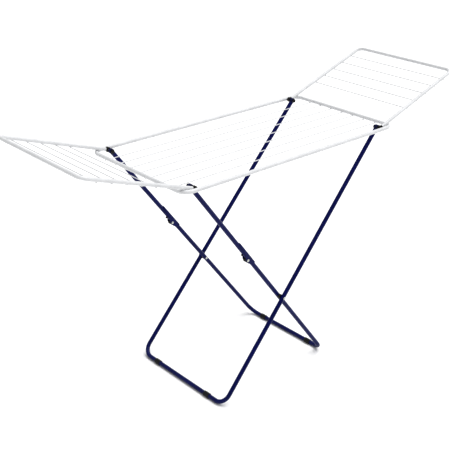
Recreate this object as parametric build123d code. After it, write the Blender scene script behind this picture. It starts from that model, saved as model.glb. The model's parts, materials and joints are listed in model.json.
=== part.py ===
from build123d import *
import math
import os

# Folding clothes drying rack: a wire-strung top on crossed legs, with a tilting wing at each end.
# Millimetres. The origin is on the floor below the middle of the rack. +X runs along the rack to
# its right end, +Y to its back, +Z up.

# ---- Rack top ----
RACK_LENGTH = 1054.0      # between the centre lines of the two end rails
RACK_WIDTH = 534.0        # between the centre lines of the two long rails
RACK_HEIGHT = 938.0       # rail centre line above the floor
FRAME_TUBE = 15.0         # outside diameter of the frame's tube
FRAME_CORNER = 40.0       # centre line radius of the frame's corners
TUBE_WALL = 0.8           # wall of every steel tube
WIRE = 3.5                # wire diameter
WELD_DEPTH = 1.0          # how far a wire sinks into the tube that it is welded under
RACK_WIRE_PITCH = 60.0
RACK_WIRE_COUNT = 7
JOINT_GAP = 0.4           # seam where the two ends of the frame's tube meet
JOINT_SLEEVE_LENGTH = 60.0

# ---- Pivot pins, one beside each end of each long rail ----
PIVOT_INSET = 56.0        # from the end rail's centre line to the pivot
PIN = 8.0                 # pin diameter
PIN_CLEARANCE = 0.05      # radial running clearance on the pins and the elbow rivets
PIN_CAP_DIAMETER = 14.0
PIN_CAP_LENGTH = 6.0
PIN_CAP_GAP = 0.4         # side play between a leg cap and the pin's push-on cap
PIN_CAP_FLOOR = 1.0       # what the push-on cap leaves over the pin's end

# ---- Wings ----
WING_ANGLE = 19.1         # upward tilt of an open wing, resting on the end rail
WING_TUBE = 14.0
WING_INSET = 16.5         # from the long rail's centre line to the wing arm's
WING_CORNER = 28.0
WING_WIRE_PITCH = 59.3
WING_WIRE_COUNT = 5
WING_REST_GAP = 0.3       # between an open wing's arm and the end rail
WING_TIP_GAP = 2.0        # from the rack's middle to the tip of a folded wing

# ---- Moulded hinge pieces ----
BARREL_WIDTH = 13.0
CLIP_BARREL_DIAMETER = 19.0
CAP_BARREL_DIAMETER = 19.0
CLIP_REACH = 10.5         # from the pivot to the end of the wing's tube
PLUG_LENGTH = 20.0        # how far a moulded piece goes into its tube
MOULD_ROUND = 1.2         # rounding of a moulded barrel's edges
CAP_REACH = 13.0          # from the pivot to the end of the leg's tube
CAP_COLLAR_DIAMETER = 17.0
CAP_COLLAR_START = 8.5    # from the pivot to the collar, clear of the pin's push-on cap

# ---- Legs ----
LEG_TUBE = 17.0
LEG_CORNER = 45.0         # centre line radius of the corners at the feet
FOOT_BAR_HEIGHT = 10.0    # foot bar's centre line above the floor
OUTER_FOOT_X = -344.0     # the outer leg runs from the right pivots to this foot
OUTER_TOP_INSET = 33.0    # from the long rail's centre line to the outer leg's, at the pivots
OUTER_FOOT_INSET = 16.2   # the same at the foot
INNER_FOOT_X = 233.0      # the inner leg runs from the left pivots to this foot
INNER_TOP_INSET = 39.3
INNER_FOOT_INSET = 53.8
FOLDED_ANGLE = 4.0        # between the folded outer leg and the rack

# ---- Elbows, where the upper link meets the inner leg ----
ELBOW_OFFSET = 9.2        # from the leg's centre line to the elbow's pivot
ELBOW_EYE_DIAMETER = 17.6
ELBOW_RIVET = 6.0
KNUCKLE_REACH = 14.0      # from the elbow to the end of the link's tube
KNUCKLE_END = 2.0         # from the elbow to the end of the knuckle's round body
KNUCKLE_PLUG_LENGTH = 30.0
BUTTON_REACH = 34.0       # from the elbow to the snap button that holds the knuckle in its tube
BUTTON = 8.0              # snap button's diameter
BUTTON_HEIGHT = 13.8      # from the tube's centre line to the button's tip
BUTTON_ROUND = 2.5
LEG_START = 13.0          # from the elbow to the end of the inner leg's tube
BRACKET_SHEET = 1.0
BRACKET_PLAY = 0.20       # between the tube and each cheek
BRACKET_UP = 88.0         # from the elbow to the bracket's end along the link
BRACKET_DOWN = 36.0       # from the elbow to the bracket's end along the leg
BRACKET_EAR = 5.5         # from the elbow's pivot to the cheek's edge beyond it
BRACKET_TIP = 3.8         # from the link's centre line down to the cheek's edge at its upper end
BRACKET_THROAT = 27.0     # from the elbow to where the cheek widens towards its ear
BRACKET_LIP = 3.8         # from the link's centre line up to the cheek's edge at the throat
BRACKET_CORNER = 3.0
BRACKET_BEND = 2.0        # outside radius of the sheet's bends
BRACKET_RIVET = 5.0
BRACKET_RIVET_PLACES = (18.5, 29.0)

# ---- Crossing of the legs ----
CROSS_RIVET = 6.0
CROSS_SPACER_DIAMETER = 18.0
CROSS_GAP = 0.3           # between the spacer and the outer leg

# ---- Rivet heads ----
RIVET_HEAD_GROWTH = 2.5   # how much further a head's radius reaches than its shank's
RIVET_HEAD_HEIGHT = 1.6
RIVET_HEAD_ROUND = 0.9
RIVET_SEAT = 0.12         # under a head that is square to Y, on a leg that is slightly splayed

# ---- Foot pads ----
PAD_DIAMETER = 21.2
PAD_LENGTH = 30.0
PAD_ROUND = 1.2
OUTER_PAD_Y = 154.0
INNER_PAD_Y = 135.0

# ---- Worked out from the sizes above ----
HALF_LENGTH = RACK_LENGTH / 2
HALF_WIDTH = RACK_WIDTH / 2
PIVOT_X = HALF_LENGTH - PIVOT_INSET
WIRE_DROP = WIRE / 2 - WELD_DEPTH
WING_HALF_WIDTH = HALF_WIDTH - WING_INSET
WING_REACH = PIVOT_X - WING_TUBE / 2 - WING_TIP_GAP


def wing_drop():
    """Height of the pivot over the arm's centre line, for an open arm that rests on the frame's corner."""
    tilt = math.sin(math.radians(WING_ANGLE))
    touch = (FRAME_TUBE + WING_TUBE) / 2 + WING_REST_GAP
    drops = []
    for degrees in range(91):
        turn = math.radians(degrees)
        along = PIVOT_INSET - FRAME_CORNER * (1 - math.cos(turn))
        across = WING_INSET - FRAME_CORNER * (1 - math.sin(turn))
        if degrees == 0:
            across = min(across, 0)
        if abs(across) < touch:
            drops.append(along * tilt - math.sqrt(touch ** 2 - across ** 2))
    return min(drops)


WING_DROP = wing_drop()

OUTER_TOP = Vector(PIVOT_X, HALF_WIDTH - OUTER_TOP_INSET, RACK_HEIGHT)
OUTER_FOOT = Vector(OUTER_FOOT_X, HALF_WIDTH - OUTER_FOOT_INSET, FOOT_BAR_HEIGHT)
INNER_TOP = Vector(-PIVOT_X, HALF_WIDTH - INNER_TOP_INSET, RACK_HEIGHT)
INNER_FOOT = Vector(INNER_FOOT_X, HALF_WIDTH - INNER_FOOT_INSET, FOOT_BAR_HEIGHT)

# The legs cross at the same fraction of their lengths, because both run from rack to foot height.
CROSS_FRACTION = 2 * PIVOT_X / (2 * PIVOT_X - OUTER_FOOT_X + INNER_FOOT_X)
OUTER_CROSS = OUTER_TOP + (OUTER_FOOT - OUTER_TOP) * CROSS_FRACTION
INNER_CROSS = INNER_TOP + (INNER_FOOT - INNER_TOP) * CROSS_FRACTION


def side_length(vector):
    """Length of a vector as seen from the side, along Y."""
    return math.hypot(vector.X, vector.Z)


def elbow_distance():
    """Distance from the left pivot to the elbow that lets the legs fold shut under the rack.

    Folded, the link lies level, the outer leg hangs by FOLDED_ANGLE, and the crossing is again
    as far from the elbow's pivot as it is when the rack stands open.
    """
    outer_part = side_length(OUTER_CROSS - OUTER_TOP)
    inner_part = side_length(INNER_CROSS - INNER_TOP)
    hang = math.radians(FOLDED_ANGLE)
    across = outer_part * math.cos(hang) - 2 * PIVOT_X
    below = outer_part * math.sin(hang) - ELBOW_OFFSET
    return (inner_part ** 2 + ELBOW_OFFSET ** 2 - across ** 2 - below ** 2) / (2 * (across + inner_part))


ELBOW_FRACTION = elbow_distance() / side_length(INNER_FOOT - INNER_TOP)
ELBOW = INNER_TOP + (INNER_FOOT - INNER_TOP) * ELBOW_FRACTION
INNER_DIRECTION = (INNER_FOOT - INNER_TOP).normalized()
OUTER_DIRECTION = (OUTER_FOOT - OUTER_TOP).normalized()
ELBOW_OUTWARD = Vector(INNER_DIRECTION.Z, 0, -INNER_DIRECTION.X).normalized()
ELBOW_PIVOT = ELBOW + ELBOW_OUTWARD * ELBOW_OFFSET
ELBOW_PLANE = Plane(origin=ELBOW, x_dir=INNER_DIRECTION, z_dir=INNER_DIRECTION.cross(ELBOW_OUTWARD))
BRACKET_HALF = LEG_TUBE / 2 + BRACKET_PLAY + BRACKET_SHEET


# ---- Shared shapes ----
def rod(start, end, diameter):
    """Solid round bar between two points."""
    run = Vector(end) - Vector(start)
    place = Plane(origin=start, z_dir=run)
    return place * Cylinder(diameter / 2, run.length, align=(Align.CENTER, Align.CENTER, Align.MIN))


def rod_across(x, z, low_y, high_y, diameter):
    """Solid round bar along Y."""
    return rod((x, low_y, z), (x, high_y, z), diameter)


def moulded_barrel(x, z, low_y, high_y, diameter):
    """Round bar along Y with rounded rims."""
    barrel = rod_across(x, z, low_y, high_y, diameter)
    return fillet(barrel.edges().filter_by(GeomType.CIRCLE), MOULD_ROUND)


def bent_tube(points, bend_radius, diameter):
    """Hollow tube that follows the points, with each inner corner bent to the radius."""
    route = FilletPolyline(*points, radius=bend_radius)
    ring = Circle(diameter / 2) - Circle(diameter / 2 - TUBE_WALL)
    return sweep(Plane(origin=route @ 0, z_dir=route % 0) * ring, path=route)


def to_front(shape):
    return mirror(shape, about=Plane.XZ)


def to_left(shape):
    return mirror(shape, about=Plane.YZ)


def rivet_head(diameter):
    """Low domed head that stands on the XY plane."""
    head = Cylinder(
        diameter / 2 + RIVET_HEAD_GROWTH,
        RIVET_HEAD_HEIGHT,
        align=(Align.CENTER, Align.CENTER, Align.MIN),
    )
    return fillet(head.faces().sort_by(Axis.Z)[-1].edges(), RIVET_HEAD_ROUND)


# ---- Rack ----
def rack_frame():
    seam = JOINT_GAP / 2
    points = [
        (seam, HALF_WIDTH, RACK_HEIGHT),
        (HALF_LENGTH, HALF_WIDTH, RACK_HEIGHT),
        (HALF_LENGTH, -HALF_WIDTH, RACK_HEIGHT),
        (-HALF_LENGTH, -HALF_WIDTH, RACK_HEIGHT),
        (-HALF_LENGTH, HALF_WIDTH, RACK_HEIGHT),
        (-seam, HALF_WIDTH, RACK_HEIGHT),
    ]
    return bent_tube(points, FRAME_CORNER, FRAME_TUBE)


def frame_joint_sleeve():
    bore = FRAME_TUBE - 2 * TUBE_WALL
    start = (-JOINT_SLEEVE_LENGTH / 2, HALF_WIDTH, RACK_HEIGHT)
    end = (JOINT_SLEEVE_LENGTH / 2, HALF_WIDTH, RACK_HEIGHT)
    return rod(start, end, bore) - rod(start, end, bore - 2 * TUBE_WALL)


def rack_wire(y):
    height = RACK_HEIGHT - FRAME_TUBE / 2 - WIRE_DROP
    end = HALF_LENGTH + WIRE
    wire = rod((-end, y, height), (end, y, height), WIRE)
    for x in (-HALF_LENGTH, HALF_LENGTH):
        wire -= rod_across(x, RACK_HEIGHT, y - WIRE, y + WIRE, FRAME_TUBE)
    return wire


def pivot_pin(top):
    """Stub pin welded to the long rail's inner side, at a leg's top point."""
    rail = rod((top.X - PIN, HALF_WIDTH, top.Z), (top.X + PIN, HALF_WIDTH, top.Z), FRAME_TUBE)
    inner_end = top.Y - BARREL_WIDTH / 2 - PIN_CAP_GAP - PIN_CAP_LENGTH + PIN_CAP_FLOOR
    return rod_across(top.X, top.Z, inner_end, HALF_WIDTH, PIN) - rail


def pivot_pin_cap(top):
    outer_end = top.Y - BARREL_WIDTH / 2 - PIN_CAP_GAP
    cap = rod_across(top.X, top.Z, outer_end - PIN_CAP_LENGTH, outer_end, PIN_CAP_DIAMETER)
    cap = fillet(cap.faces().sort_by(Axis.Y)[0].edges(), PIN_CAP_FLOOR)
    return cap - pivot_pin(top)


# ---- Wings, built at the right end and mirrored to the left ----
def wing_point(reach, y, rise):
    """Point at a distance along the open wing's arm and above the pivot, square to the arm."""
    tilt = math.radians(WING_ANGLE)
    x = PIVOT_X + reach * math.cos(tilt) - rise * math.sin(tilt)
    z = RACK_HEIGHT + reach * math.sin(tilt) + rise * math.cos(tilt)
    return Vector(x, y, z)


def wing_frame():
    points = [
        wing_point(CLIP_REACH, -WING_HALF_WIDTH, -WING_DROP),
        wing_point(WING_REACH, -WING_HALF_WIDTH, -WING_DROP),
        wing_point(WING_REACH, WING_HALF_WIDTH, -WING_DROP),
        wing_point(CLIP_REACH, WING_HALF_WIDTH, -WING_DROP),
    ]
    return bent_tube(points, WING_CORNER, WING_TUBE)


def wing_wire(number):
    reach = WING_REACH - number * WING_WIRE_PITCH
    rise = -WING_DROP - WING_TUBE / 2 - WIRE_DROP
    end = WING_HALF_WIDTH + WIRE
    wire = rod(wing_point(reach, -end, rise), wing_point(reach, end, rise), WIRE)
    for y in (-WING_HALF_WIDTH, WING_HALF_WIDTH):
        start = wing_point(reach - WIRE, y, -WING_DROP)
        wire -= rod(start, wing_point(reach + WIRE, y, -WING_DROP), WING_TUBE)
    return wire


def wing_clip():
    """Moulded eye on the pivot pin, with a neck and a plug that fills the back arm's end."""
    y = WING_HALF_WIDTH
    half = BARREL_WIDTH / 2
    barrel = moulded_barrel(PIVOT_X, RACK_HEIGHT, y - half, y + half, CLIP_BARREL_DIAMETER)
    mouth = wing_point(CLIP_REACH, y, -WING_DROP)
    neck = rod(wing_point(0, y, -WING_DROP), mouth, WING_TUBE)
    plug_end = wing_point(CLIP_REACH + PLUG_LENGTH, y, -WING_DROP)
    plug = rod(mouth, plug_end, WING_TUBE - 2 * TUBE_WALL)
    bore = rod_across(PIVOT_X, RACK_HEIGHT, y - WING_TUBE, y + WING_TUBE, PIN + 2 * PIN_CLEARANCE)
    return barrel + neck + plug - bore


# ---- Legs, with paired pieces built at the back and mirrored to the front ----
def leg_cap(top, direction):
    """Moulded eye on the pivot pin, with a collar and a plug for the leg's tube."""
    half = BARREL_WIDTH / 2
    barrel = moulded_barrel(top.X, top.Z, top.Y - half, top.Y + half, CAP_BARREL_DIAMETER)
    mouth = top + direction * CAP_REACH
    collar = rod(top + direction * CAP_COLLAR_START, mouth, CAP_COLLAR_DIAMETER)
    plug = rod(mouth, mouth + direction * PLUG_LENGTH, LEG_TUBE - 2 * TUBE_WALL)
    bore = rod_across(top.X, top.Z, top.Y - half, top.Y + half, PIN + 2 * PIN_CLEARANCE)
    return barrel + collar + plug - bore


def u_leg(start, foot):
    """U-shaped leg from the back start point, round the foot bar, to the front."""
    points = [start, foot, Vector(foot.X, -foot.Y, foot.Z), Vector(start.X, -start.Y, start.Z)]
    return bent_tube(points, LEG_CORNER, LEG_TUBE)


def cross_hole(cross):
    return rod_across(cross.X, cross.Z, -HALF_WIDTH, HALF_WIDTH, CROSS_RIVET)


def outer_leg():
    return u_leg(OUTER_TOP + OUTER_DIRECTION * CAP_REACH, OUTER_FOOT) - cross_hole(OUTER_CROSS)


def inner_leg():
    leg = u_leg(ELBOW + INNER_DIRECTION * LEG_START, INNER_FOOT) - cross_hole(INNER_CROSS)
    for place in BRACKET_RIVET_PLACES:
        hole = ELBOW_PLANE * Pos(place, 0, 0) * Cylinder(BRACKET_RIVET / 2, 2 * LEG_TUBE)
        leg -= hole
        leg -= to_front(hole)
    return leg


def upper_link():
    start = INNER_TOP + INNER_DIRECTION * CAP_REACH
    end = ELBOW - INNER_DIRECTION * KNUCKLE_REACH
    tube = rod(start, end, LEG_TUBE) - rod(start, end, LEG_TUBE - 2 * TUBE_WALL)
    return tube - snap_button()


def snap_button():
    """Round-nosed peg from the middle of the link's tube out through its wall."""
    button = Cylinder(BUTTON / 2, BUTTON_HEIGHT, align=(Align.CENTER, Align.CENTER, Align.MIN))
    button = fillet(button.faces().sort_by(Axis.Z)[-1].edges(), BUTTON_ROUND)
    root = ELBOW - INNER_DIRECTION * BUTTON_REACH
    return Plane(origin=root, x_dir=INNER_DIRECTION, z_dir=ELBOW_OUTWARD) * button


def elbow_hole(diameter):
    """Round bar along Y on the back elbow's axis, long enough to cut through the elbow."""
    low_y = ELBOW_PIVOT.Y - LEG_TUBE
    return rod_across(ELBOW_PIVOT.X, ELBOW_PIVOT.Z, low_y, ELBOW_PIVOT.Y + LEG_TUBE, diameter)


def elbow_knuckle():
    """Moulded end of the upper link, with the eye that the elbow turns on."""
    mouth = ELBOW - INNER_DIRECTION * KNUCKLE_REACH
    plug_end = mouth - INNER_DIRECTION * KNUCKLE_PLUG_LENGTH
    plug = rod(plug_end, mouth, LEG_TUBE - 2 * TUBE_WALL) + snap_button()
    body = rod(mouth, ELBOW - INNER_DIRECTION * KNUCKLE_END, LEG_TUBE)
    low_y = ELBOW_PIVOT.Y - LEG_TUBE / 2
    eye = moulded_barrel(ELBOW_PIVOT.X, ELBOW_PIVOT.Z, low_y, low_y + LEG_TUBE, ELBOW_EYE_DIAMETER)
    return plug + body + eye - elbow_hole(ELBOW_RIVET + 2 * PIN_CLEARANCE)


def elbow_bracket():
    """Folded sheet channel on the inner leg: two cheeks, joined on the side away from the pivot."""
    back = -BRACKET_HALF
    ear = ELBOW_OFFSET + BRACKET_EAR
    outline = Polyline(
        (-BRACKET_UP, back),
        (-BRACKET_UP, -BRACKET_TIP),
        (-BRACKET_THROAT, BRACKET_LIP),
        (-ELBOW_OFFSET, ear),
        (ELBOW_OFFSET, ear),
        (BRACKET_DOWN, LEG_TUBE / 2),
        (BRACKET_DOWN, back),
        close=True,
    )
    side = make_face(outline)
    corners = [vertex for vertex in side.vertices() if vertex.Y > back + BRACKET_SHEET]
    side = fillet(corners, BRACKET_CORNER)
    block = extrude(side, BRACKET_HALF, both=True)
    bends = block.edges().filter_by(Axis.X).group_by(Axis.Y)[0]
    block = fillet(bends, BRACKET_BEND)
    slot_start = back + BRACKET_SHEET
    slot = Box(
        2 * (BRACKET_UP + BRACKET_DOWN),
        2 * ear,
        2 * (BRACKET_HALF - BRACKET_SHEET),
        align=(Align.CENTER, Align.MIN, Align.CENTER),
    )
    slot_bends = slot.edges().filter_by(Axis.X).group_by(Axis.Y)[0]
    slot = fillet(slot_bends, BRACKET_BEND - BRACKET_SHEET)
    bracket = ELBOW_PLANE * (block - Pos(0, slot_start, 0) * slot)
    for place in BRACKET_RIVET_PLACES:
        bracket -= ELBOW_PLANE * Pos(place, 0, 0) * Cylinder(BRACKET_RIVET / 2, 2 * LEG_TUBE)
    return bracket - elbow_hole(ELBOW_RIVET)


def elbow_rivet():
    """Rivet that the knuckle turns on, with a head outside each cheek."""
    half_grip = BRACKET_HALF + RIVET_SEAT
    shank = Cylinder(ELBOW_RIVET / 2, 2 * half_grip)
    head = Pos(0, 0, half_grip) * rivet_head(ELBOW_RIVET)
    along_y = Plane(origin=ELBOW_PIVOT, x_dir=(1, 0, 0), z_dir=(0, 1, 0))
    return along_y * (shank + head + mirror(head, about=Plane.XY))


def bracket_rivets():
    """Rivets pressed flush with the cheeks, because the outer leg passes close by as it folds."""
    rivet = Cylinder(BRACKET_RIVET / 2, 2 * BRACKET_HALF)
    return Compound([ELBOW_PLANE * Pos(place, 0, 0) * rivet for place in BRACKET_RIVET_PLACES])


def outer_cross_rivet():
    """Rivet through the outer leg, headed on its outer side."""
    inner_face = OUTER_CROSS.Y - LEG_TUBE / 2
    outer_face = OUTER_CROSS.Y + LEG_TUBE / 2 + RIVET_SEAT
    shank = rod_across(OUTER_CROSS.X, OUTER_CROSS.Z, inner_face, outer_face, CROSS_RIVET)
    along_y = Plane(origin=(OUTER_CROSS.X, outer_face, OUTER_CROSS.Z), z_dir=(0, 1, 0))
    return shank + along_y * rivet_head(CROSS_RIVET)


def inner_cross_rivet():
    """Rivet through the inner leg and its spacer, headed on the leg's inner side."""
    inner_face = INNER_CROSS.Y - LEG_TUBE / 2 - RIVET_SEAT
    shank = rod_across(INNER_CROSS.X, INNER_CROSS.Z, inner_face, spacer_face(), CROSS_RIVET)
    along_y = Plane(origin=(INNER_CROSS.X, inner_face, INNER_CROSS.Z), z_dir=(0, -1, 0))
    return shank + along_y * rivet_head(CROSS_RIVET)


def spacer_face():
    return OUTER_CROSS.Y - LEG_TUBE / 2 - CROSS_GAP


def cross_spacer():
    """Moulded washer that keeps the two legs apart, saddled on the inner leg."""
    reach = INNER_DIRECTION * CROSS_SPACER_DIAMETER
    leg = rod(INNER_CROSS - reach, INNER_CROSS + reach, LEG_TUBE)
    washer = rod_across(INNER_CROSS.X, INNER_CROSS.Z, INNER_CROSS.Y, spacer_face(), CROSS_SPACER_DIAMETER)
    return washer - leg - cross_hole(INNER_CROSS)


def foot_pad(foot, y):
    """Sleeve on the foot bar, flattened where it stands on the floor."""
    low, high = y - PAD_LENGTH / 2, y + PAD_LENGTH / 2
    sleeve = rod_across(foot.X, foot.Z, low, high, PAD_DIAMETER)
    sleeve = fillet(sleeve.faces().filter_by(Axis.Y).edges(), PAD_ROUND)
    sleeve -= rod_across(foot.X, foot.Z, low, high, LEG_TUBE)
    floor = Pos(foot.X, y, 0) * Box(
        2 * PAD_DIAMETER,
        2 * PAD_LENGTH,
        PAD_DIAMETER,
        align=(Align.CENTER, Align.CENTER, Align.MAX),
    )
    return sleeve - floor


# ---- All the pieces ----
def add_pair(pieces, name, back_piece):
    """File a back piece and its mirror image at the front."""
    pieces[f"{name}_back"] = back_piece
    pieces[f"{name}_front"] = to_front(back_piece)


def rack_pieces():
    pieces = {"rack_frame": rack_frame(), "frame_joint_sleeve": frame_joint_sleeve()}
    for number in range(RACK_WIRE_COUNT):
        y = (number - (RACK_WIRE_COUNT - 1) / 2) * RACK_WIRE_PITCH
        pieces[f"rack_wire_{number + 1}"] = rack_wire(y)
    for side, top in (("right", OUTER_TOP), ("left", INNER_TOP)):
        add_pair(pieces, f"pivot_pin_{side}", pivot_pin(top))
        add_pair(pieces, f"pivot_pin_cap_{side}", pivot_pin_cap(top))
    return pieces


def wing_pieces():
    right = {"wing_frame": wing_frame()}
    for number in range(WING_WIRE_COUNT):
        right[f"wing_wire_{number + 1}"] = wing_wire(number + 1)
    add_pair(right, "wing_clip", wing_clip())
    pieces = {}
    for name, piece in right.items():
        pieces[f"right_{name}"] = piece
        pieces[f"left_{name}"] = to_left(piece)
    return pieces


def leg_pieces():
    pieces = {"outer_leg": outer_leg(), "inner_leg": inner_leg()}
    add_pair(pieces, "outer_leg_cap", leg_cap(OUTER_TOP, OUTER_DIRECTION))
    add_pair(pieces, "outer_leg_cross_rivet", outer_cross_rivet())
    add_pair(pieces, "outer_leg_foot_pad", foot_pad(OUTER_FOOT, OUTER_PAD_Y))
    add_pair(pieces, "upper_link", upper_link())
    add_pair(pieces, "upper_link_cap", leg_cap(INNER_TOP, INNER_DIRECTION))
    add_pair(pieces, "elbow_knuckle", elbow_knuckle())
    add_pair(pieces, "elbow_bracket", elbow_bracket())
    add_pair(pieces, "elbow_rivet", elbow_rivet())
    add_pair(pieces, "elbow_bracket_rivets", bracket_rivets())
    add_pair(pieces, "inner_leg_cross_rivet", inner_cross_rivet())
    add_pair(pieces, "inner_leg_cross_spacer", cross_spacer())
    add_pair(pieces, "inner_leg_foot_pad", foot_pad(INNER_FOOT, INNER_PAD_Y))
    return pieces


def main():
    os.makedirs("parts", exist_ok=True)
    for name, piece in {**rack_pieces(), **wing_pieces(), **leg_pieces()}.items():
        piece.label = name
        export_step(piece, f"parts/{name}.step")


main()
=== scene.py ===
import bpy
import bmesh
import json
import math
from mathutils import Matrix, Vector


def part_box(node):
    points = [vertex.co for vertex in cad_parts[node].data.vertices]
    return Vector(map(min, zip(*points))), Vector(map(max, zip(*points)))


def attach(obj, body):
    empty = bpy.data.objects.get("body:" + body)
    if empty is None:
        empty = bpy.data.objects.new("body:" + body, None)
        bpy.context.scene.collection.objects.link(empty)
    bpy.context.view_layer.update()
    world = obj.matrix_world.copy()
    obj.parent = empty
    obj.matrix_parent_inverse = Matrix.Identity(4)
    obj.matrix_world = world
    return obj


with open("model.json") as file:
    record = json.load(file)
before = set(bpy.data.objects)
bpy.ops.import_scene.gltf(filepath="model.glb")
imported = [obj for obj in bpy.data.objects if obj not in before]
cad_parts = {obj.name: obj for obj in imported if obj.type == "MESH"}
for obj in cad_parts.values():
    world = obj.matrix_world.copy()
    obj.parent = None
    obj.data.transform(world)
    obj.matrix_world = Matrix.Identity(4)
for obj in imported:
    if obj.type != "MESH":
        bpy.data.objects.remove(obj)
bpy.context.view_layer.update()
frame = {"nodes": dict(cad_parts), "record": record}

# Sockets of the Mix node when it mixes colours.
MIX_A, MIX_B, MIX_RESULT = 6, 7, 2

# Sizes are in metres and angles in degrees.
DUST_HEIGHT = 0.09
RACK_WIRES, WING_WIRES = 7, 5
WIRE_RADIUS = 0.00175
WING_ARM_RADIUS = 0.007
WING_TILT = 19.1

# A weld bead is long and thin, with a ripple on it, and sits a little above the wire's middle.
BEAD_HALF_LENGTH = 0.0040
BEAD_RADIUS = 0.0011
BEAD_RINGS, BEAD_SIDES = 11, 8
BEAD_LIFT = 0.3 * WIRE_RADIUS
RIPPLE_DEPTH, RIPPLE_RATE = 0.12, 9

FLOOR_RADIUS, FLOOR_SIDES = 30.0, 64
AIR_STRENGTH = 0.42
SILK_PLACE, SILK_STRENGTH, SILK_SPREAD = (1.0, -0.5, 3.0), 2.4, 60

CAMERA_PLACE = (-2.3014, -2.4898, 2.1291)
CAMERA_AZIMUTH, CAMERA_ELEVATION = -41.24, 24.59
CAMERA_LENS, CAMERA_SENSOR = 75.55, 36.0


# ---- Colour and node helpers ----
def linear(hex_colour):
    """An sRGB hex value as a linear colour with full alpha."""
    channels = [int(hex_colour[i:i + 2], 16) / 255 for i in (1, 3, 5)]
    return [c / 12.92 if c <= 0.04045 else ((c + 0.055) / 1.055) ** 2.4 for c in channels] + [1.0]


def add(tree, kind, inputs=None, **settings):
    """Add a node, set its properties, and set each input to a value or link it to a socket."""
    node = tree.nodes.new(kind)
    for name, value in settings.items():
        setattr(node, name, value)
    for name, value in (inputs or {}).items():
        if isinstance(value, bpy.types.NodeSocket):
            tree.links.new(value, node.inputs[name])
        else:
            node.inputs[name].default_value = value
    return node


def start_material(name):
    """An empty material, its node tree and the piece's own coordinates in metres."""
    material = bpy.data.materials.new(name)
    material.use_nodes = True
    material.node_tree.nodes.clear()
    place = add(material.node_tree, "ShaderNodeTexCoord").outputs["Object"]
    return material, material.node_tree, place


def per_metre(size_mm):
    """Noise scale whose grains are about this wide."""
    return 1000 / size_mm


# ---- Finishes ----
def powder_coated_steel(name, coat, thin_coat, dust, roughness, gloss, dust_share):
    """Polyester powder, sprayed and baked on drawn steel tube.

    It gives the eye one even satin colour with a faint orange peel in its highlights, slightly
    thinner in broad patches, and a little dry dust on the lengths near the floor.
    """
    material, tree, place = start_material(name)
    patches = add(tree, "ShaderNodeTexNoise", {"Vector": place, "Scale": per_metre(40), "Detail": 2})
    thin = add(tree, "ShaderNodeMapRange",
               {"Value": patches.outputs["Fac"], "From Min": 0.35, "From Max": 0.7})
    coated = add(tree, "ShaderNodeMix",
                 {0: thin.outputs["Result"], MIX_A: linear(coat), MIX_B: linear(thin_coat)},
                 data_type="RGBA")

    # Dust thins out up to its height above the floor, in 6 mm flecks.
    height = add(tree, "ShaderNodeSeparateXYZ", {"Vector": place}).outputs["Z"]
    low = add(tree, "ShaderNodeMapRange",
              {"Value": height, "From Min": DUST_HEIGHT, "From Max": 0.0, "To Max": dust_share})
    flecks = add(tree, "ShaderNodeTexNoise", {"Vector": place, "Scale": per_metre(6), "Detail": 5})
    dusty = add(tree, "ShaderNodeMath", {0: low.outputs["Result"], 1: flecks.outputs["Fac"]},
                operation="MULTIPLY")
    colour = add(tree, "ShaderNodeMix",
                 {0: dusty.outputs["Value"], MIX_A: coated.outputs[MIX_RESULT], MIX_B: linear(dust)},
                 data_type="RGBA")

    # Orange peel is about 1.5 mm from crest to crest.
    peel = add(tree, "ShaderNodeTexNoise", {"Vector": place, "Scale": per_metre(1.5), "Detail": 1})
    sheen = add(tree, "ShaderNodeMapRange",
                {"Value": patches.outputs["Fac"], "To Min": roughness - 0.05, "To Max": roughness + 0.05})
    bump = add(tree, "ShaderNodeBump",
               {"Height": peel.outputs["Fac"], "Strength": 0.35, "Distance": 0.00008})
    coat_shader = add(tree, "ShaderNodeBsdfPrincipled",
                      {"Base Color": colour.outputs[MIX_RESULT], "Roughness": sheen.outputs["Result"],
                       "Normal": bump.outputs["Normal"], "IOR": 1.5, "Specular IOR Level": gloss})
    add(tree, "ShaderNodeOutputMaterial", {"Surface": coat_shader.outputs["BSDF"]})
    return material


def dipped_wire(name, coat, rub):
    """Steel wire dipped in white vinyl.

    It gives the eye a softer, rounder white than the powder coat, with slow waves in its
    thickness and greyer rubbed spots.
    """
    material, tree, place = start_material(name)
    waves = add(tree, "ShaderNodeTexNoise", {"Vector": place, "Scale": per_metre(14), "Detail": 2})
    rubs = add(tree, "ShaderNodeTexNoise", {"Vector": place, "Scale": per_metre(5), "Detail": 4})
    rubbed = add(tree, "ShaderNodeMapRange",
                 {"Value": rubs.outputs["Fac"], "From Min": 0.55, "From Max": 0.8, "To Max": 0.5})
    colour = add(tree, "ShaderNodeMix",
                 {0: rubbed.outputs["Result"], MIX_A: linear(coat), MIX_B: linear(rub)},
                 data_type="RGBA")
    sheen = add(tree, "ShaderNodeMapRange",
                {"Value": rubs.outputs["Fac"], "To Min": 0.32, "To Max": 0.5})
    bump = add(tree, "ShaderNodeBump",
               {"Height": waves.outputs["Fac"], "Strength": 0.4, "Distance": 0.0002})
    vinyl = add(tree, "ShaderNodeBsdfPrincipled",
                {"Base Color": colour.outputs[MIX_RESULT], "Roughness": sheen.outputs["Result"],
                 "Normal": bump.outputs["Normal"], "IOR": 1.53})
    add(tree, "ShaderNodeOutputMaterial", {"Surface": vinyl.outputs["BSDF"]})
    return material


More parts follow.
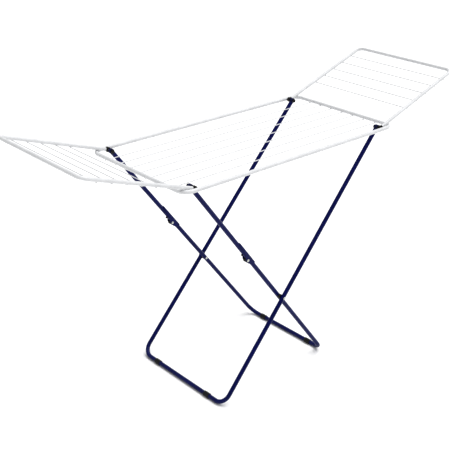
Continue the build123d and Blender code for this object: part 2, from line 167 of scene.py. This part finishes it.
def moulded_polypropylene(name, body, scuff):
    """Dyed polypropylene, injection moulded in a spark-eroded tool.

    It gives the eye a dense matt colour with a fine even grain, and paler scuffs where it is
    handled or stood on.
    """
    material, tree, place = start_material(name)
    # The real grain is 0.2 mm. It is drawn at 0.6 mm so that it shows.
    grain = add(tree, "ShaderNodeTexVoronoi", {"Vector": place, "Scale": per_metre(0.6)})
    scuffs = add(tree, "ShaderNodeTexNoise", {"Vector": place, "Scale": per_metre(7), "Detail": 6})
    scuffed = add(tree, "ShaderNodeMapRange",
                  {"Value": scuffs.outputs["Fac"], "From Min": 0.5, "From Max": 0.8, "To Max": 0.6})
    colour = add(tree, "ShaderNodeMix",
                 {0: scuffed.outputs["Result"], MIX_A: linear(body), MIX_B: linear(scuff)},
                 data_type="RGBA")
    sheen = add(tree, "ShaderNodeMapRange",
                {"Value": scuffs.outputs["Fac"], "To Min": 0.42, "To Max": 0.62})
    bump = add(tree, "ShaderNodeBump",
               {"Height": grain.outputs["Distance"], "Strength": 0.3, "Distance": 0.00005})
    plastic = add(tree, "ShaderNodeBsdfPrincipled",
                  {"Base Color": colour.outputs[MIX_RESULT], "Roughness": sheen.outputs["Result"],
                   "Normal": bump.outputs["Normal"], "IOR": 1.49, "Specular IOR Level": 0.3})
    add(tree, "ShaderNodeOutputMaterial", {"Surface": plastic.outputs["BSDF"]})
    return material


def zinc_plated_steel(name, zinc, passivate):
    """Headed steel rivets and turned pins, barrel plated with zinc and clear passivated.

    It gives the eye a soft bright metal with faint bluish and yellowish clouds and fine tumbling
    marks.
    """
    material, tree, place = start_material(name)
    clouds = add(tree, "ShaderNodeTexNoise", {"Vector": place, "Scale": per_metre(4), "Detail": 2})
    colour = add(tree, "ShaderNodeMix",
                 {0: clouds.outputs["Fac"], MIX_A: linear(zinc), MIX_B: linear(passivate)},
                 data_type="RGBA")
    marks = add(tree, "ShaderNodeTexNoise", {"Vector": place, "Scale": per_metre(0.5), "Detail": 3})
    sheen = add(tree, "ShaderNodeMapRange",
                {"Value": marks.outputs["Fac"], "To Min": 0.25, "To Max": 0.45})
    bump = add(tree, "ShaderNodeBump",
               {"Height": marks.outputs["Fac"], "Strength": 0.2, "Distance": 0.00003})
    metal = add(tree, "ShaderNodeBsdfPrincipled",
                {"Base Color": colour.outputs[MIX_RESULT], "Metallic": 1.0,
                 "Roughness": sheen.outputs["Result"], "Normal": bump.outputs["Normal"]})
    add(tree, "ShaderNodeOutputMaterial", {"Surface": metal.outputs["BSDF"]})
    return material


def studio_floor(name, paint):
    """Matt white studio floor paint, rolled. It gives the eye a plain pale ground."""
    material, tree, place = start_material(name)
    roller = add(tree, "ShaderNodeTexNoise", {"Vector": place, "Scale": per_metre(400), "Detail": 2})
    sheen = add(tree, "ShaderNodeMapRange",
                {"Value": roller.outputs["Fac"], "To Min": 0.75, "To Max": 0.9})
    painted = add(tree, "ShaderNodeBsdfPrincipled",
                  {"Base Color": linear(paint), "Roughness": sheen.outputs["Result"]})
    add(tree, "ShaderNodeOutputMaterial", {"Surface": painted.outputs["BSDF"]})
    return material


FINISHES = {
    "frame_coat": powder_coated_steel(
        "white_powder_coat", coat="#D9DADC", thin_coat="#D0D1D3", dust="#B9B4AA",
        roughness=0.38, gloss=0.5, dust_share=0.0),
    "wire_coat": dipped_wire("white_vinyl_on_wire", coat="#CFD0D2", rub="#C0C1C4"),
    "leg_coat": powder_coated_steel(
        "navy_powder_coat", coat="#040B4A", thin_coat="#071054", dust="#50546E",
        roughness=0.33, gloss=0.16, dust_share=0.10),
    "moulded_navy": moulded_polypropylene("navy_polypropylene", body="#060C40", scuff="#141A50"),
    "moulded_black": moulded_polypropylene("black_polypropylene", body="#111113", scuff="#26262A"),
    "zinc_steel": zinc_plated_steel("zinc_plated_steel", zinc="#C6C8CC", passivate="#B9BBAE"),
}

for subpart in frame["record"]["subparts"]:
    slots = frame["nodes"][subpart["node"]].material_slots
    for material_slot in slots:
        material_slot.material = FINISHES[subpart["material_slot"]]


# ---- Weld beads where the wires meet the tubes ----
def lay_bead(mesh, centre, along, up, seed):
    """A tapered, rippled bead in the corner between a wire and its tube."""
    side = along.cross(up)
    rings = []
    for ring in range(1, BEAD_RINGS):
        reach = 2 * ring / BEAD_RINGS - 1
        ripple = 1 + RIPPLE_DEPTH * math.cos(RIPPLE_RATE * reach + seed)
        radius = BEAD_RADIUS * math.sqrt(1 - reach ** 2) * ripple
        middle = centre + along * (BEAD_HALF_LENGTH * reach)
        rings.append([mesh.verts.new(middle + radius * (side * math.cos(turn) + up * math.sin(turn)))
                      for turn in (2 * math.pi * k / BEAD_SIDES for k in range(BEAD_SIDES))])
    for near, far in zip(rings, rings[1:]):
        for k in range(BEAD_SIDES):
            beside = (k + 1) % BEAD_SIDES
            mesh.faces.new((near[k], near[beside], far[beside], far[k]))
    for rim, tip_reach in ((rings[0], -1), (rings[-1], 1)):
        tip = mesh.verts.new(centre + along * (BEAD_HALF_LENGTH * tip_reach))
        for k in range(BEAD_SIDES):
            mesh.faces.new((rim[k], rim[(k + 1) % BEAD_SIDES], tip))


def weld_wires(body, wire_names, along, up, tube_places):
    """Two beads at each end of each wire, one on each side of it, that ride on the wires' body."""
    mesh = bmesh.new()
    for number, wire in enumerate(wire_names):
        low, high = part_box(wire)
        middle = (Vector(low) + Vector(high)) / 2
        for place in tube_places:
            crossing = middle - along * middle.dot(along) + along * place
            for flank in (-1, 1):
                corner = crossing + along.cross(up) * (flank * WIRE_RADIUS) + up * BEAD_LIFT
                lay_bead(mesh, corner, along, up, seed=number + 3 * flank)
    bmesh.ops.recalc_face_normals(mesh, faces=mesh.faces)
    for face in mesh.faces:
        face.smooth = True
    data = bpy.data.meshes.new(body + "_weld_beads")
    mesh.to_mesh(data)
    mesh.free()
    beads = bpy.data.objects.new(body + "_weld_beads", data)
    beads.data.materials.append(FINISHES["frame_coat"])
    bpy.context.scene.collection.objects.link(beads)
    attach(beads, body)


def wires_of(body, count):
    """The names of a body's wires."""
    return ["%s_wire_%d" % (body, number) for number in range(1, count + 1)]


def weld_all_wires():
    """The rack's wires are welded to its end rails, and each wing's to its two arms."""
    frame_low, frame_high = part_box("rack_frame")
    rail_radius = (frame_high[2] - frame_low[2]) / 2
    weld_wires("rack", wires_of("rack", RACK_WIRES), Vector((1, 0, 0)), Vector((0, 0, 1)),
               (frame_low[0] + rail_radius, frame_high[0] - rail_radius))
    tilt = math.radians(WING_TILT)
    for body, outward in (("left_wing", -1), ("right_wing", 1)):
        low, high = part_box(body + "_frame")
        up = Vector((-outward * math.sin(tilt), 0, math.cos(tilt)))
        weld_wires(body, wires_of(body, WING_WIRES), Vector((0, 1, 0)), up,
                   (low[1] + WING_ARM_RADIUS, high[1] - WING_ARM_RADIUS))


weld_all_wires()


# ---- Studio ----
def facing(place, aim):
    """Matrix of a camera or light at a place that looks at its aim, level with the horizon."""
    turn = (Vector(aim) - Vector(place)).to_track_quat("-Z", "Y")
    return Matrix.Translation(place) @ turn.to_matrix().to_4x4()


def lay_floor(radius, sides):
    """A round floor under the feet. It is part of the studio, not of the rack."""
    mesh = bpy.data.meshes.new("studio_floor")
    rim = [(radius * math.cos(2 * math.pi * k / sides), radius * math.sin(2 * math.pi * k / sides), 0)
           for k in range(sides)]
    mesh.from_pydata(rim, [], [range(sides)])
    floor = bpy.data.objects.new("studio_floor", mesh)
    floor.data.materials.append(studio_floor("white_floor_paint", "#FBFBFB"))
    bpy.context.scene.collection.objects.link(floor)


def shine_overhead(name, place, strength, spread):
    """Broad light from high up on one side, with soft shadows over the whole floor."""
    silk = bpy.data.lights.new(name, "SUN")
    silk.energy = strength
    silk.angle = math.radians(spread)
    lamp = bpy.data.objects.new(name, silk)
    lamp.matrix_world = facing(place, (0, 0, 0))
    bpy.context.scene.collection.objects.link(lamp)


def light_studio():
    """White air all round, and one broad light above."""
    world = bpy.data.worlds.new("studio_air")
    world.use_nodes = True
    world.node_tree.nodes.clear()
    air = add(world.node_tree, "ShaderNodeBackground",
              {"Color": linear("#FFFFFF"), "Strength": AIR_STRENGTH})
    add(world.node_tree, "ShaderNodeOutputWorld", {"Surface": air.outputs["Background"]})
    bpy.context.scene.world = world
    bpy.context.scene.view_settings.view_transform = "Standard"
    bpy.context.scene.view_settings.look = "Medium High Contrast"
    shine_overhead("overhead_silk", SILK_PLACE, SILK_STRENGTH, SILK_SPREAD)


def place_camera():
    """A 75 mm lens, about 3.6 m from the middle of the rack, that looks down 25 degrees."""
    place = Vector(CAMERA_PLACE)
    azimuth, elevation = math.radians(CAMERA_AZIMUTH), math.radians(CAMERA_ELEVATION)
    back = Vector((math.sin(azimuth) * math.cos(elevation),
                   -math.cos(azimuth) * math.cos(elevation),
                   math.sin(elevation)))
    camera = bpy.data.cameras.new("studio_camera")
    camera.sensor_width = CAMERA_SENSOR
    camera.lens = CAMERA_LENS
    camera.clip_end = 100.0
    rig = bpy.data.objects.new("studio_camera", camera)
    rig.matrix_world = facing(place, place - back)
    bpy.context.scene.collection.objects.link(rig)
    bpy.context.scene.camera = rig


lay_floor(FLOOR_RADIUS, FLOOR_SIDES)
light_studio()
place_camera()
